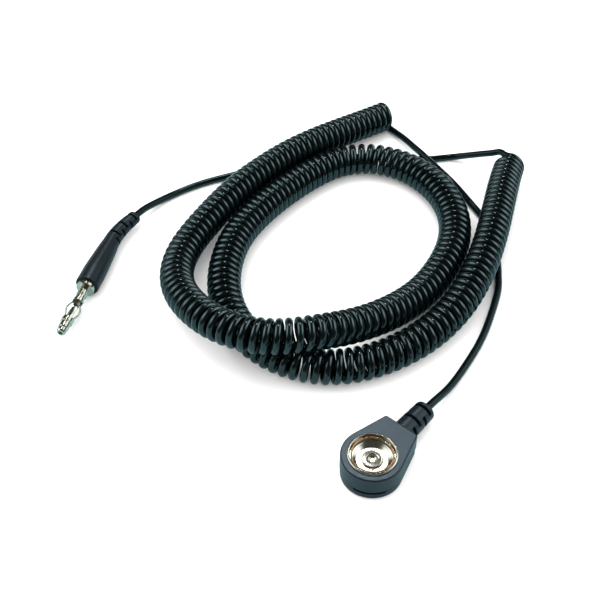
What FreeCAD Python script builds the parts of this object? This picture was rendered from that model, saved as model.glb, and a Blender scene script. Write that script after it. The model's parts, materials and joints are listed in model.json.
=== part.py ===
import FreeCAD, Part
import math
import os

# ESD ground cord: 4 mm lantern banana plug, coiled cord lying in two loops and a 10 mm
# snap-socket connector. Millimetres, +Z up. Everything rests on Z = 0, and the bounding box
# is centred on the origin in X and Y.

Vector = FreeCAD.Vector
ORIGIN = Vector(0, 0, 0)
UP = Vector(0, 0, 1)

# ---------------------------------------------------------------- driving dimensions
LAYOUT_SHIFT = (-2.507, -10.378)    # from layout coordinates to the centred frame
GAP = 0.05                          # running clearance
PIECE_GAP = 0.03                    # gap between pieces of one flexible part

CABLE_R = 2.30 / 2                  # outside of the jacket
CONDUCTOR_R = 1.00 / 2
CUP_R = CABLE_R + GAP               # cup that receives the ball end of the next lead
CUP_FACE_Z = -0.45                  # rim of the cup, from the centre of the bend
BORE_R = CABLE_R + GAP              # cable hole in a strain relief
END_LEN = 1.7                       # straight run at a ball or cup end
CABLE_REST_Z = CABLE_R + 0.01       # axis height of a cable lying on the floor
CABLE_PIECE_LEN = 12.0              # target length of one solid of a lead
CABLE_STEP = 0.9                    # spacing of surface rings along a lead
COIL_LEAD_GAP = 0.15                # gap between a coil end and its lead
COIL_LEAD_RUN = 1.2                 # straight run of a lead leaving the coil

COIL_OD = 10.7
COIL_R = COIL_OD / 2 - CABLE_R      # coil axis to cable axis
ROUTE_COIL_OD = 10.5                # coil diameter that the heights in ROUTE belong to
ROUTE_LIFT = (COIL_OD - ROUTE_COIL_OD) / 2 + 0.004
COIL_PHASE = math.radians(225.0)    # puts the first turn's start on the floor
TURN_ROWS = 8                       # surface rings per turn
SECTION_TURNS = 10                  # turns in one solid
FREE_END_S = 58.0                   # coil length that travels with the free end
STRETCH_END_S = 112.0               # end of the zone that stretches
COIL_STEP = 0.02                    # integration step along the coil centreline
FRAME_STEPS = 10                    # integration steps between updates of the coil frame
RING = 8                            # control points round a cable

PLUG_Z = 3.8                        # height of the plug axis
PLUG_FACE = (-66.85, 2.4, PLUG_Z)   # front face of the grip
PLUG_BEND = (-55.3, 35.7, PLUG_Z)
PLUG_AXIS_DEG = 255.8               # heading of the pin
SNAP_Z = 4.0                        # height of the cable entry
SNAP_CENTRE = (19.22, -65.64, 0.0)
SNAP_BEND = (35.23, -46.96, SNAP_Z)
SNAP_AXIS_DEG = 49.4                # heading from the socket to its strain relief

SLOT_TOP_DEG = 65.0                 # half angle of strain relief slots above and below
SLOT_SIDE_DEG = 50.0                # half angle of the slots on the flanks

# coil centreline in layout coordinates, evenly spaced from the free end to the far end: x, y, z
ROUTE = [
    (32.1, 91.0, 5.25), (21.49, 83.34, 6.02), (12.73, 76.61, 7.15), (3.91, 69.95, 7.80),
    (-4.56, 62.84, 8.02), (-12.3, 54.94, 8.09), (-19.39, 46.44, 8.12), (-25.68, 37.33, 7.79),
    (-31.38, 27.86, 7.18), (-36.17, 17.9, 6.81), (-38.39, 7.12, 7.44), (-37.08, -3.66, 9.32),
    (-32.79, -13.49, 11.96), (-26.2, -22.3, 14.5), (-16.88, -28.8, 16.1), (-6.0, -30.7, 16.35),
    (4.69, -28.3, 15.5), (14.32, -23.2, 12.5), (23.32, -16.8, 9.6), (31.43, -9.3, 7.1),
    (38.52, -1.12, 5.58), (44.53, 8.16, 5.25), (49.01, 18.27, 5.25), (51.12, 29.11, 5.28),
    (50.04, 40.08, 5.39), (45.82, 50.28, 5.36), (38.75, 58.73, 5.26), (29.05, 63.9, 5.25),
    (18.08, 64.34, 5.25), (8.2, 59.56, 5.26), (-0.14, 52.28, 5.26), (-7.65, 44.15, 5.26),
    (-14.28, 35.29, 5.26), (-19.66, 25.63, 5.26), (-22.83, 15.04, 5.25), (-23.78, 4.03, 5.25),
    (-22.29, -6.92, 5.25), (-17.88, -17.03, 5.25), (-10.55, -25.27, 5.25), (-0.99, -30.76, 5.25),
    (9.89, -32.38, 5.25), (20.68, -30.09, 5.25), (30.56, -25.12, 5.25), (39.29, -18.35, 5.32),
    (46.69, -10.15, 5.85), (52.66, -0.87, 6.71), (57.39, 9.11, 7.47), (61.21, 19.49, 7.88),
    (64.46, 30.07, 7.87), (67.45, 40.73, 7.42), (70.51, 51.33, 6.51), (73.94, 61.8, 5.41)]

# distance along the coil centreline, distance between turns there
PITCH = [
    (0, 2.46), (32, 2.50), (62, 2.55), (92, 2.57), (107, 2.67), (122, 2.93), (137, 2.93),
    (152, 2.93), (167, 2.93), (182, 2.93), (197, 2.93), (212, 2.67), (240, 2.64), (262, 2.68),
    (287, 2.74), (300, 2.88), (309, 3.07), (318, 2.87), (332, 2.52), (347, 2.50), (362, 2.57),
    (377, 2.62), (392, 2.63), (407, 2.80), (422, 2.90), (437, 2.90), (452, 2.90), (467, 2.90),
    (482, 2.82), (512, 2.72), (527, 2.59), (550, 2.50), (572, 2.43)]

# lead centrelines in layout coordinates: x, y, axis height (raised to CABLE_REST_Z where lower)
SNAP_JOIN = (58.5, 45.7, 1.35)
SNAP_HINGE = (63.4, 9.0, CABLE_REST_Z)
PLUG_HINGE = (-27.0, 59.6, CABLE_REST_Z)
SNAP_REAR = [
    (34.6, 87.0, 1.3), (36.2, 84.2, 1.8), (38.3, 80.3, 2.5), (40.9, 75.1, 3.2),
    (43.8, 69.6, 3.75), (46.6, 64.6, 3.85), (50.2, 58.5, 3.8), (53.6, 53.2, 3.25),
    (56.3, 49.2, 2.2), SNAP_JOIN]
SNAP_FIXED = [
    SNAP_JOIN, (60.3, 42.0, 1.07), (61.9, 38.0, 1.06), (63.4, 31.0, 1.06),
    (64.2, 22.0, 1.06), (63.9, 13.5, 1.06), SNAP_HINGE]
SNAP_FREE = [
    SNAP_HINGE, (62.8, 4.6, 1.06), (60.9, -2.0, 1.06), (57.9, -10.3, 1.06),
    (53.9, -19.4, 1.06), (49.2, -27.6, 1.06), (44.9, -34.4, 1.45), (40.9, -40.1, 2.7),
    (37.9, -43.8, 3.7), SNAP_BEND]
PLUG_FIXED = [
    (70.4, 63.76, 9.2), (68.2, 64.65, 8.2), (65.6, 65.86, 6.9), (62.8, 67.41, 5.3),
    (59.9, 69.07, 3.6), (57.0, 70.47, 2.1), (53.8, 71.02, 1.25), (48.6, 70.28, 1.16),
    (43.6, 69.9, 1.06), (38.0, 70.0, 1.06), (30.0, 71.0, 1.06), (22.0, 71.4, 1.06),
    (14.0, 69.9, 1.06), (6.0, 67.6, 1.06), (-2.0, 65.6, 1.06), (-10.0, 64.4, 1.06),
    (-18.0, 62.9, 1.06), (-23.0, 61.2, 1.06), PLUG_HINGE]
PLUG_FREE = [
    PLUG_HINGE, (-30.6, 58.1, 1.06), (-34.6, 56.2, 1.06), (-40.9, 52.4, 1.06),
    (-46.2, 48.3, 1.35), (-50.3, 43.8, 2.25), (-53.2, 39.5, 3.3), PLUG_BEND]


# ---------------------------------------------------------------- curves
def unit(vector):
    return vector * (1.0 / vector.Length)


def square_to(vector, tangent):
    """Unit vector nearest to the given one and square to the tangent."""
    return unit(vector - tangent * vector.dot(tangent))


def heading(degrees):
    return Vector(math.cos(math.radians(degrees)), math.sin(math.radians(degrees)), 0.0)


def placed(point):
    """Layout point in the centred frame."""
    return Vector(point[0] + LAYOUT_SHIFT[0], point[1] + LAYOUT_SHIFT[1], point[2])


def route(points):
    return [placed((x, y, max(z, CABLE_REST_Z))) for x, y, z in points]


def interpolate(table, x):
    if x <= table[0][0]:
        return table[0][1]
    for (x0, y0), (x1, y1) in zip(table, table[1:]):
        if x <= x1:
            return y0 + (y1 - y0) * (x - x0) / (x1 - x0)
    return table[-1][1]


def interval(values, x):
    """Index of the interval of rising values that holds x."""
    low, high = 0, len(values) - 2
    while low < high:
        middle = (low + high + 1) // 2
        if values[middle] <= x:
            low = middle
        else:
            high = middle - 1
    return low


class Spline:
    """Natural cubic spline through points, measured by arc length."""

    SAMPLES = 40        # arc length samples per span
    END_STEP = 1e-5     # share of the parameter range used for the end directions

    def __init__(self, points):
        self.points = points
        self.knots = [0.0]
        for a, b in zip(points, points[1:]):
            self.knots.append(self.knots[-1] + (b - a).Length)
        self.bends = self.second_derivatives()
        self.arcs, self.params = [0.0], [0.0]
        last = self.raw(0.0)
        steps = self.SAMPLES * (len(points) - 1)
        for j in range(1, steps + 1):
            param = self.knots[-1] * j / steps
            point = self.raw(param)
            self.arcs.append(self.arcs[-1] + (point - last).Length)
            self.params.append(param)
            last = point
        self.length = self.arcs[-1]

    def second_derivatives(self):
        """Solve the tridiagonal system, with zero second derivative at both ends."""
        points, knots, count = self.points, self.knots, len(self.points)
        lower, diagonal, upper = [0.0] * count, [1.0] * count, [0.0] * count
        right = [Vector() for _ in points]
        for i in range(1, count - 1):
            before, after = knots[i] - knots[i - 1], knots[i + 1] - knots[i]
            lower[i], diagonal[i], upper[i] = before, 2 * (before + after), after
            right[i] = ((points[i + 1] - points[i]) * (6 / after)
                        - (points[i] - points[i - 1]) * (6 / before))
        for i in range(1, count):
            factor = lower[i] / diagonal[i - 1]
            diagonal[i] -= factor * upper[i - 1]
            right[i] = right[i] - right[i - 1] * factor
        bends = [Vector() for _ in points]
        for i in range(count - 2, -1, -1):
            bends[i] = (right[i] - bends[i + 1] * upper[i]) * (1 / diagonal[i])
        return bends

    def raw(self, param):
        i = interval(self.knots, param)
        span = self.knots[i + 1] - self.knots[i]
        a, b = (self.knots[i + 1] - param) / span, (param - self.knots[i]) / span
        bend = self.bends[i] * (a ** 3 - a) + self.bends[i + 1] * (b ** 3 - b)
        return self.points[i] * a + self.points[i + 1] * b + bend * (span * span / 6)

    def at(self, s):
        """Point at arc length s, on a straight extension beyond either end."""
        end = self.knots[-1]
        if s <= 0.0:
            start = self.raw(0.0)
            return start + unit(self.raw(end * self.END_STEP) - start) * s
        if s >= self.length:
            stop = self.raw(end)
            return stop + unit(stop - self.raw(end * (1 - self.END_STEP))) * (s - self.length)
        i = interval(self.arcs, s)
        share = (s - self.arcs[i]) / (self.arcs[i + 1] - self.arcs[i])
        return self.raw(self.params[i] + share * (self.params[i + 1] - self.params[i]))

    def tangent(self, s):
        return unit(self.at(s + 0.02) - self.at(s - 0.02))


# ---------------------------------------------------------------- control rings
def polygon_factor(count):
    """Radius of a uniform cubic B-spline loop over the radius of its control polygon."""
    return (4 + 2 * math.cos(2 * math.pi / count)) / 6


TURN_FACTOR = polygon_factor(TURN_ROWS)
RING_FACTOR = polygon_factor(RING)


def ring_offsets(radius):
    """Pairs of offsets that place the control points of a round section."""
    angles = [2 * math.pi * j / RING for j in range(RING)]
    reach = radius / RING_FACTOR
    return [(reach * math.cos(angle), reach * math.sin(angle)) for angle in angles]


def coil_stations():
    """Stations along the coil: s, centre, tangent, radial direction, direction round the coil."""
    centreline = Spline([placed((x, y, z + ROUTE_LIFT)) for x, y, z in ROUTE])
    stations = []
    phase, target = 0.0, 0.0
    normal = UP
    for i in range(int(centreline.length / COIL_STEP) + 1):
        s = i * COIL_STEP
        pitch = interpolate(PITCH, s)
        if i % FRAME_STEPS == 0:
            tangent = centreline.tangent(s)
            normal = square_to(normal, tangent)
        while phase >= target:
            station_s = s - (phase - target) / (2 * math.pi) * pitch
            angle = COIL_PHASE - target         # the turns wind left-handed
            radial = normal * math.cos(angle) + tangent.cross(normal) * math.sin(angle)
            stations.append((station_s, centreline.at(station_s), tangent, radial,
                             tangent.cross(radial)))
            target += 2 * math.pi / TURN_ROWS
        phase += 2 * math.pi * COIL_STEP / pitch
    return stations


COIL = coil_stations()


def wire_point(row):
    _, centre, _, radial, _ = COIL[row]
    return centre + radial * COIL_R


def wire_direction(row):
    s, _, tangent, _, around = COIL[row]
    return unit(tangent * (interpolate(PITCH, s) / (2 * math.pi)) - around * COIL_R)


def coil_ring(row, radius):
    """Control ring of the cable surface at a coil station."""
    _, centre, tangent, radial, around = COIL[row]
    side = unit(wire_direction(row).cross(radial))
    along_part, around_part = side.dot(tangent), side.dot(around)
    return [centre + radial * ((COIL_R + outward) / TURN_FACTOR)
            + tangent * (sideways * along_part)
            + around * (sideways * around_part / TURN_FACTOR)
            for outward, sideways in ring_offsets(radius)]


def path_frames(path, start, stop, step):
    """Frames (s, point, tangent, upper normal, side), with one beyond each end."""
    count = max(3, int(math.ceil((stop - start) / step)))
    spacing = (stop - start) / count
    normal = UP
    frames = []
    for i in range(-1, count + 2):
        s = start + i * spacing
        tangent = path.tangent(s)
        normal = square_to(normal, tangent)
        frames.append((s, path.at(s), tangent, normal, tangent.cross(normal)))
    # the three frames at each end share their axes, so the end rings are parallel
    for ends, source in (((0, 1, 2), 1), ((-1, -2, -3), -2)):
        axes = frames[source][2:]
        for i in ends:
            frames[i] = frames[i][:2] + axes
    return frames


def path_ring(frame, radius):
    _, point, _, normal, side = frame
    return [point + side * across + normal * upward for across, upward in ring_offsets(radius)]


def path_rings(frames, radius):
    return [path_ring(frame, radius) for frame in frames]


# ---------------------------------------------------------------- solid builders
def clamp(rings):
    """Replace the two outer rings at each end, so that the surface ends on the second one."""
    def mix(*terms):
        return [sum((ring[j] * weight for weight, ring in terms), Vector())
                for j in range(RING)]

    a, b, c = rings[:3]
    x, y, z = rings[-1], rings[-2], rings[-3]
    return ([mix((1 / 6, a), (4 / 6, b), (1 / 6, c)), mix((2 / 3, b), (1 / 3, c))]
            + rings[2:-2]
            + [mix((2 / 3, y), (1 / 3, z)), mix((1 / 6, x), (4 / 6, y), (1 / 6, z))])


def ring_middle(ring):
    return sum(ring, Vector()) * (1.0 / RING)


def skin(rings, trim):
    """Tubular face through the rings, and its two rim edges."""
    poles = clamp(rings)
    for (end, inside), shortened in zip(((0, 1), (-1, -2)), trim):
        if shortened:       # a hair's gap keeps neighbouring pieces apart
            inward = unit(ring_middle(poles[inside]) - ring_middle(poles[end]))
            for i in (end, inside):
                poles[i] = [pole + inward * (PIECE_GAP / 2) for pole in poles[i]]
    count = len(poles)
    surface = Part.BSplineSurface()
    surface.buildFromPolesMultsKnots(
        poles,
        [4] + [1] * (count - 4) + [4], [1] * (RING + 1),
        [float(k) for k in range(count - 2)], [float(k) for k in range(RING + 1)],
        False, True, 3, 3)
    face = surface.toShape().Faces[0]
    loops = [edge for edge in face.Edges if edge.isClosed()]
    rims = []
    for ring in (poles[0], poles[-1]):
        middle = ring_middle(ring)
        rims.append(min(loops, key=lambda edge: edge.CenterOfMass.distanceToPoint(middle)))
    return face, rims


def outward_facing(solid):
    if solid.Volume < 0:
        solid.reverse()
    return solid


def swept(outer_rings, inner_rings=None, trim=(False, False)):
    """Solid through the outer rings, hollow where inner rings are given."""
    face, rims = skin(outer_rings, trim)
    faces = [face]
    if inner_rings is None:
        faces += [Part.Face(Part.Wire([rim])) for rim in rims]
    else:
        hole, hole_rims = skin(inner_rings, trim)
        faces.append(hole)
        for rim, hole_rim in zip(rims, hole_rims):
            faces.append(Part.makeFace([Part.Wire([rim]), Part.Wire([hole_rim])],
                                       "Part::FaceMakerBullseye"))
    shell = Part.makeShell(faces)
    shell.sewShape()
    return outward_facing(Part.makeSolid(shell.Shells[0]))


def turned(profile):
    """Solid of revolution about Z from (r, z) points.

    An entry of two pairs is an arc through the first pair to the second.
    """
    edges, last = [], profile[0]
    for entry in profile[1:] + profile[:1]:
        if isinstance(entry[0], tuple):
            middle, end = entry
            edges.append(Part.Arc(*[Vector(r, 0, z) for r, z in (last, middle, end)]).toShape())
            last = end
        else:
            if abs(entry[0] - last[0]) > 1e-9 or abs(entry[1] - last[1]) > 1e-9:
                edges.append(Part.makeLine(Vector(last[0], 0, last[1]),
                                           Vector(entry[0], 0, entry[1])))
            last = entry
    face = Part.Face(Part.Wire(edges))
    return outward_facing(face.revolve(ORIGIN, UP, 360).Solids[0])


def revolved_arc(face, start_deg, sweep_deg):
    """Part ring about Z from a face in the XZ plane."""
    solid = face.revolve(ORIGIN, UP, sweep_deg)
    solid.rotate(ORIGIN, UP, start_deg)
    return outward_facing(solid)


def moved(shape, position, rotation):
    copy = shape.copy()
    copy.Placement = FreeCAD.Placement(position, rotation).multiply(copy.Placement)
    return copy


def put(shape, position, direction):
    """Copy with its +Z turned to the direction and its origin at the position."""
    return moved(shape, position, FreeCAD.Rotation(UP, direction))


def save(name, *shapes):
    shape = shapes[0] if len(shapes) == 1 else Part.makeCompound(list(shapes))
    shape.exportStep("parts/" + name + ".step")


# ---------------------------------------------------------------- cable pieces
def ball_end(length):
    """Round end centred on a bend, followed by a straight run along +Z."""
    diagonal = CABLE_R * math.sin(math.radians(45))
    return turned([(0, -CABLE_R), ((diagonal, -diagonal), (CABLE_R, 0)), (CABLE_R, length),
                   (0, length)])


def cup_end(length):
    """Run from -Z that ends in a cup for a ball end centred at the origin."""
    rim_r = math.sqrt(CUP_R ** 2 - CUP_FACE_Z ** 2)
    angle = math.atan2(rim_r, -CUP_FACE_Z) / 2
    arc_middle = (CUP_R * math.sin(angle), -CUP_R * math.cos(angle))
    return turned([(0, -length), (CABLE_R, -length), (CABLE_R, CUP_FACE_Z),
                   (rim_r, CUP_FACE_Z), (arc_middle, (0, -CUP_R))])


def cable(path, start_ball, end_cup, start_gap):
    """Jacket pieces and conductor pieces of one lead."""
    start = END_LEN if start_ball else start_gap
    stop = path.length - (END_LEN if end_cup else 0.0)
    count = max(1, int(round((stop - start) / CABLE_PIECE_LEN)))
    jackets, conductors = [], []
    for k in range(count):
        piece_start = start + (stop - start) * k / count
        piece_stop = start + (stop - start) * (k + 1) / count
        frames = path_frames(path, piece_start, piece_stop, CABLE_STEP)
        outer, inner = path_rings(frames, CABLE_R), path_rings(frames, CONDUCTOR_R)
        after, before = k > 0, k < count - 1        # neighbours behind and ahead
        jackets.append(swept(outer, inner, (after or start_ball, before or end_cup)))
        conductors.append(swept(inner, None, (after, before)))
    if start_ball:
        run = path.at(start) - path.at(0.0)
        jackets.append(put(ball_end(run.Length), path.at(0.0), unit(run)))
    if end_cup:
        end = path.at(path.length)
        run = end - path.at(stop)
        jackets.append(put(cup_end(run.Length), end, unit(run)))
    return jackets, conductors


def lead_end(path, stop):
    """Jacket pieces and conductor of the cable inside a strain relief."""
    frames = path_frames(path, END_LEN, stop, CABLE_STEP)
    outer, inner = path_rings(frames, CABLE_R), path_rings(frames, CONDUCTOR_R)
    bend = path.at(0.0)
    ball = put(ball_end(END_LEN), bend, unit(path.at(END_LEN) - bend))
    return [swept(outer, inner, (True, False)), ball], swept(inner)


def coil_pieces(first, last):
    """Jacket pieces and conductor pieces between two coil stations."""
    rows = last - first
    count = max(1, int(round(rows / (SECTION_TURNS * TURN_ROWS))))
    cuts = [first + int(round(rows * k / count)) for k in range(count + 1)]
    jackets, conductors = [], []
    for a, b in zip(cuts, cuts[1:]):
        outer = [coil_ring(row, CABLE_R) for row in range(a - 1, b + 2)]
        inner = [coil_ring(row, CONDUCTOR_R) for row in range(a - 1, b + 2)]
        jackets.append(swept(outer, inner, (True, True)))
        conductors.append(swept(inner, None, (True, True)))
    return jackets, conductors


def cut_slots(solid, path, stations, width, core_r):
    """Cut flex slots: above and below at every other station, on the flanks between them."""
    for k, s in enumerate(stations):
        _, point, tangent, normal, side = path_frames(path, s, s + 0.6, 0.3)[1]
        local_x = FreeCAD.Rotation(UP, tangent).multVec(Vector(1, 0, 0))
        half_deg = SLOT_SIDE_DEG if k % 2 else SLOT_TOP_DEG
        for sign in (1.0, -1.0):
            outward = (side if k % 2 else normal) * sign
            angle = math.degrees(math.atan2(local_x.cross(outward).dot(tangent),
                                            local_x.dot(outward)))
            slot = Part.makeCylinder(6.0, width, ORIGIN, UP, 2 * half_deg)
            slot = slot.cut(Part.makeCylinder(core_r, width + 2, Vector(0, 0, -1)))
            slot.rotate(ORIGIN, UP, angle - half_deg)
            solid = solid.cut(put(slot, point, tangent))
    return solid.Solids[0]


def strain_relief(path, length, end_radii, step, trim, stations, slot_width, core_r):
    """Slotted tapered sleeve; end_radii are at its thin, rounded end and its thick end."""
    thin_r, thick_r = end_radii

    def radius(s):
        edge = max(0.0, 1.0 - s / 0.6)      # rounding of the thin end
        return thin_r + (thick_r - thin_r) * s / length - 0.3 * edge * edge

    frames = path_frames(path, 0.25, length, step)
    outer = [path_ring(frame, radius(max(frame[0], 0))) for frame in frames]
    sleeve = swept(outer, path_rings(frames, BORE_R), trim)
    return cut_slots(sleeve, path, stations, slot_width, core_r)


# ---------------------------------------------------------------- coil and leads
FIRST_ROW = 1
LAST_TURN_ROW = 5       # row of its turn at which the coil stops
# the last station of that row that still has a neighbour
LAST_ROW = (len(COIL) - 2 - LAST_TURN_ROW) // TURN_ROWS * TURN_ROWS + LAST_TURN_ROW


def row_at(s):
    return min(range(FIRST_ROW, LAST_ROW), key=lambda row: abs(COIL[row][0] - s))


def from_coil(row, sense, points):
    """Lead path that leaves the coil along its cable; sense -1 leaves against the winding."""
    start = wire_point(row)
    run = wire_direction(row) * (sense * COIL_LEAD_RUN)
    return Spline([start, start + run] + route(points))


def build_coil():
    free_row, stretch_row = row_at(FREE_END_S), row_at(STRETCH_END_S)
    for name, first, last in (("free_end", FIRST_ROW, free_row),
                              ("stretch_zone", free_row, stretch_row),
                              ("body", stretch_row, LAST_ROW)):
        jackets, conductors = coil_pieces(first, last)
        save("coil_jacket_" + name, *jackets)
        save("coil_conductor_" + name, *conductors)


PLUG_FREE_PATH = Spline(route(PLUG_FREE))


def build_leads():
    # name, path, ball at the start, cup at the end, gap at the start
    for name, path, ball, cup, gap in (
            ("snap_lead_rear", from_coil(FIRST_ROW, -1, SNAP_REAR), False, False, COIL_LEAD_GAP),
            ("snap_lead_fixed", Spline(route(SNAP_FIXED)), False, True, 0.0),
            ("snap_lead_free", Spline(route(SNAP_FREE)), True, True, 0.0),
            ("plug_lead_fixed", from_coil(LAST_ROW, 1, PLUG_FIXED), False, True, COIL_LEAD_GAP),
            ("plug_lead_free", PLUG_FREE_PATH, True, True, 0.0)):
        jackets, conductors = cable(path, ball, cup, gap)
        save(name + "_jacket", *jackets)
        save(name + "_conductor", *conductors)


# ---------------------------------------------------------------- banana plug
# Built along +Z towards the pin tip, with the front face of the grip at z = 0.
GRIP_FRONT_R = 3.72
GRIP_REAR_R = 2.92
GRIP_LEN = 18.9
GRIP_SOCKET_R = 2.2         # hole in the rear of the grip
SPIGOT_LEN = 2.7            # strain relief inside that hole
SPIGOT_PATH_LEN = 2.9       # path length reserved for it
PLUG_BOOT_RADII = (2.2, 2.82)
PIN_LEN = 20.6
NECK_R = 1.45
RING_R = 1.72               # rings behind the leaves
FRONT_R = 1.93              # ring in front of the leaves, a sliding fit in a 4 mm socket
SHANK_R = 1.5
SHANK_Z = -9.0              # rear of the shank, where the tail starts
TAIL_Z = -11.0              # rear of the tail
TAIL_ROOT_R, TAIL_END_R = 0.9, 0.85
CORE_R, CORE_Z = 0.75, 18.0     # thin rod inside the leaves, and its front end
LEAF_BULGE_R = 2.42
LEAF_END_R = 1.2            # inner radius at the leaf ends
LEAF_T = 0.25
LEAF_Z = (6.6, 15.5)
LEAF_DEG = 48               # width of a leaf round the pin
LEAF_SPANS = 12
LEAF_FLAT = 0.07            # share of the leaf that is straight at each end

PLUG_DIR = heading(PLUG_AXIS_DEG)
PLUG_POS = placed(PLUG_FACE)
PLUG_REAR = PLUG_POS + PLUG_DIR * -GRIP_LEN
# path of the strain relief between the bend and the grip, in layout coordinates: x, y
PLUG_BOOT_ROUTE = [(-57.5, 32.2), (-59.4, 28.9), (-60.95, 25.3)]


def plug_pin():
    return turned([
        (0, TAIL_Z), (TAIL_END_R, TAIL_Z), (TAIL_ROOT_R, SHANK_Z), (SHANK_R, SHANK_Z),
        (SHANK_R, 0.0), (2.9, 0.0), (2.9, 1.4), (2.7, 1.6), (NECK_R, 1.6), (NECK_R, 3.8),
        (RING_R, 3.95), (RING_R, 4.5), (NECK_R, 4.65), (NECK_R, 6.3), (RING_R, 6.4),
        (RING_R, 7.4), (1.5, 7.4), (1.5, 6.5), (CORE_R, 6.5), (CORE_R, CORE_Z), (0, CORE_Z)])


def plug_tip():
    return turned([
        (CORE_R, 17.2), (CORE_R, 15.6), (1.5, 15.6), (1.5, 14.7), (FRONT_R, 14.7),
        (FRONT_R, 16.3), (1.66, 16.4), (1.66, 18.6), (1.45, 18.9), (1.45, 20.1),
        (1.2, PIN_LEN), (0.7, PIN_LEN), (0.7, 19.3), (0, 19.0), (0, CORE_Z), (CORE_R, CORE_Z)])


def plug_leaf():
    """Bowed spring leaf centred on the XZ plane."""
    inner, outer = [], []
    for k in range(LEAF_SPANS + 1):
        share = k / LEAF_SPANS
        z = LEAF_Z[0] + (LEAF_Z[1] - LEAF_Z[0]) * share
        bowed = min(1.0, max(0.0, (share - LEAF_FLAT) / (1 - 2 * LEAF_FLAT)))
        bow = 0.5 - 0.5 * math.cos(2 * math.pi * bowed)
        r = LEAF_END_R + (LEAF_BULGE_R - LEAF_T - LEAF_END_R) * bow
        inner.append(Vector(r, 0, z))
        outer.append(Vector(r + LEAF_T, 0, z))
    inner_curve, outer_curve = Part.BSplineCurve(), Part.BSplineCurve()
    inner_curve.interpolate(inner)
    outer_curve.interpolate(outer)
    wire = Part.Wire([inner_curve.toShape(), Part.makeLine(inner[-1], outer[-1]),
                      outer_curve.toShape().reversed(), Part.makeLine(outer[0], inner[0])])
    return revolved_arc(Part.Face(wire), -LEAF_DEG / 2, LEAF_DEG)


def plug_grip():
    return turned([
        (SHANK_R, 0.0), (3.4, 0.0), ((3.6, -0.12), (GRIP_FRONT_R, -0.4)),
        (GRIP_FRONT_R, -6.0), (3.6, -9.0), (3.15, -16.0), (GRIP_REAR_R, -GRIP_LEN),
        (GRIP_SOCKET_R, -GRIP_LEN), (GRIP_SOCKET_R, -15.6), (SHANK_R, -15.6)])


def plug_barrel():
    return turned([
        (TAIL_ROOT_R, SHANK_Z), (SHANK_R, SHANK_Z), (SHANK_R, -15.3), (0.55, -15.3),
        (0.55, TAIL_Z), (TAIL_END_R, TAIL_Z)])


def plug_boot_path():
    """From the bend, through the strain relief, to the front of its spigot."""
    bend = placed(PLUG_BEND)
    back = PLUG_FREE_PATH.at(PLUG_FREE_PATH.length - 3.0) - bend
    back = unit(Vector(back.x, back.y, 0.0))
    return Spline([bend, bend + back * -1.5]
                  + [placed((x, y, PLUG_Z)) for x, y in PLUG_BOOT_ROUTE]
                  + [PLUG_REAR, PLUG_REAR + PLUG_DIR * SPIGOT_PATH_LEN])


def build_plug():
    for name, shape in (("pin", plug_pin()), ("tip", plug_tip()), ("grip", plug_grip()),
                        ("crimp_barrel", plug_barrel())):
        save("plug_" + name, put(shape, PLUG_POS, PLUG_DIR))
    leaf = plug_leaf()
    for k in range(4):
        turned_leaf = leaf.copy()
        turned_leaf.rotate(ORIGIN, UP, 45 + 90 * k)
        save("plug_spring_leaf_%d" % (k + 1), put(turned_leaf, PLUG_POS, PLUG_DIR))

    path = plug_boot_path()
    boot = strain_relief(path, path.length - SPIGOT_PATH_LEN, PLUG_BOOT_RADII, step=0.45,
                         trim=(False, True), stations=[1.5, 4.0, 6.4, 8.9, 11.3, 13.6],
                         slot_width=0.85, core_r=1.62)
    spigot = turned([(BORE_R, 0), (GRIP_SOCKET_R, 0), (GRIP_SOCKET_R, SPIGOT_LEN),
                     (BORE_R, SPIGOT_LEN)])
    save("plug_strain_relief", boot, put(spigot, PLUG_REAR, PLUG_DIR))
    jackets, conductor = lead_end(path, path.length)
    straight_core = put(Part.makeCylinder(CONDUCTOR_R, 3.9),
                        path.at(path.length) + PLUG_DIR * PIECE_GAP, PLUG_DIR)
    save("plug_lead_end_jacket", *jackets)
    save("plug_lead_end_conductor", conductor, straight_core)


# ---------------------------------------------------------------- snap connector
# Built with x towards the strain relief, z up and the socket axis on Z.
SNAP_R = 8.65               # round part of the housing
SHOULDER_X, SHOULDER_Y = 13.0, 5.35     # corner beside the strain relief
CORNER = 0.5                # length rounded off at a shoulder
CORNER_MID = (0.32 / 1.1, 0.42 / 1.1)   # inset of the corner arc's middle, times CORNER
TOP_Z = 8.5
SEAM_Z = 3.3
RIM_R = 6.9                 # outside of the rolled metal rim
SOCKET_R = 6.66
OPEN_R = 5.5                # bore the press stud enters
SNAP_BOOT_RADII = (3.1, 3.6)
BOOT_X = 10.5               # inner end of the strain relief
TAG_Z = (5.34, 5.66)        # solder tag, under and upper face
SLEEVE_END_X = 15.4
SPRING_R, SPRING_WIRE_R = 5.68, 0.24


def snap_save(name, *shapes):
    rotation = FreeCAD.Rotation(UP, SNAP_AXIS_DEG)
    save("snap_" + name, *[moved(shape, placed(SNAP_CENTRE), rotation) for shape in shapes])


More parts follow.
